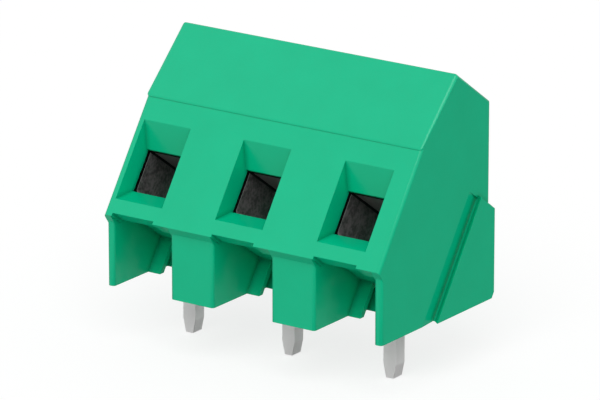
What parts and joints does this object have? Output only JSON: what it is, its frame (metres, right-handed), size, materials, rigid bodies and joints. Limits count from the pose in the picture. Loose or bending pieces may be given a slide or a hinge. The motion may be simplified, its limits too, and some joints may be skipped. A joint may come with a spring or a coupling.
{
  "type": "board terminal block",
  "caption": "Green board terminal block with slanted wire funnels, rising-sleeve screw clamps, a joining wing and straight solder pins.",
  "frame": {"origin": "centre of the middle solder pin in the plane of the board's surface, where the housing's feet stand", "axes": "+X along the row of pins towards the joining wing, +Y from the wire entries to the rear wall, +Z away from the board"},
  "size_m": [0.0211, 0.0122, 0.019],
  "materials": {
    "green_plastic": "fine matte moulding texture",
    "tinned_metal": "matte tin plating",
    "sleeve_steel": "dark passivated",
    "screw_steel": "zinc-plated"
  },
  "bodies": {
    "block": {"housing": "green_plastic", "current_bar_1": "tinned_metal", "current_bar_2": "tinned_metal", "current_bar_3": "tinned_metal"},
    "clamp_screw_1": {"clamp_screw_1": "screw_steel"},
    "clamp_sleeve_1": {"clamp_sleeve_1": "sleeve_steel"},
    "clamp_screw_2": {"clamp_screw_2": "screw_steel"},
    "clamp_sleeve_2": {"clamp_sleeve_2": "sleeve_steel"},
    "clamp_screw_3": {"clamp_screw_3": "screw_steel"},
    "clamp_sleeve_3": {"clamp_sleeve_3": "sleeve_steel"}
  },
  "joints": [
    {"name": "screw_turn_1", "type": "hinge", "parent": "block", "child": "clamp_screw_1", "pos_m": [-0.00833, 0.00392, 0.01247], "axis": [0, -0.5736, -0.8192], "range_deg": [0, 1980]},
    {"name": "sleeve_rise_1", "type": "slide", "parent": "block", "child": "clamp_sleeve_1", "axis": [0, 0.5736, 0.8192], "range_m": [0, 0.00275]},
    {"name": "screw_turn_2", "type": "hinge", "parent": "block", "child": "clamp_screw_2", "pos_m": [-0.00071, 0.00392, 0.01247], "axis": [0, -0.5736, -0.8192], "range_deg": [0, 1980]},
    {"name": "sleeve_rise_2", "type": "slide", "parent": "block", "child": "clamp_sleeve_2", "axis": [0, 0.5736, 0.8192], "range_m": [0, 0.00275]},
    {"name": "screw_turn_3", "type": "hinge", "parent": "block", "child": "clamp_screw_3", "pos_m": [0.00691, 0.00392, 0.01247], "axis": [0, -0.5736, -0.8192], "range_deg": [0, 1980]},
    {"name": "sleeve_rise_3", "type": "slide", "parent": "block", "child": "clamp_sleeve_3", "axis": [0, 0.5736, 0.8192], "range_m": [0, 0.00275]}
  ],
  "couplings": [
    {"joint": "screw_turn_1", "follows": "sleeve_rise_1", "rad_per_m": 12566},
    {"joint": "screw_turn_2", "follows": "sleeve_rise_2", "rad_per_m": 12566},
    {"joint": "screw_turn_3", "follows": "sleeve_rise_3", "rad_per_m": 12566}
  ]
}
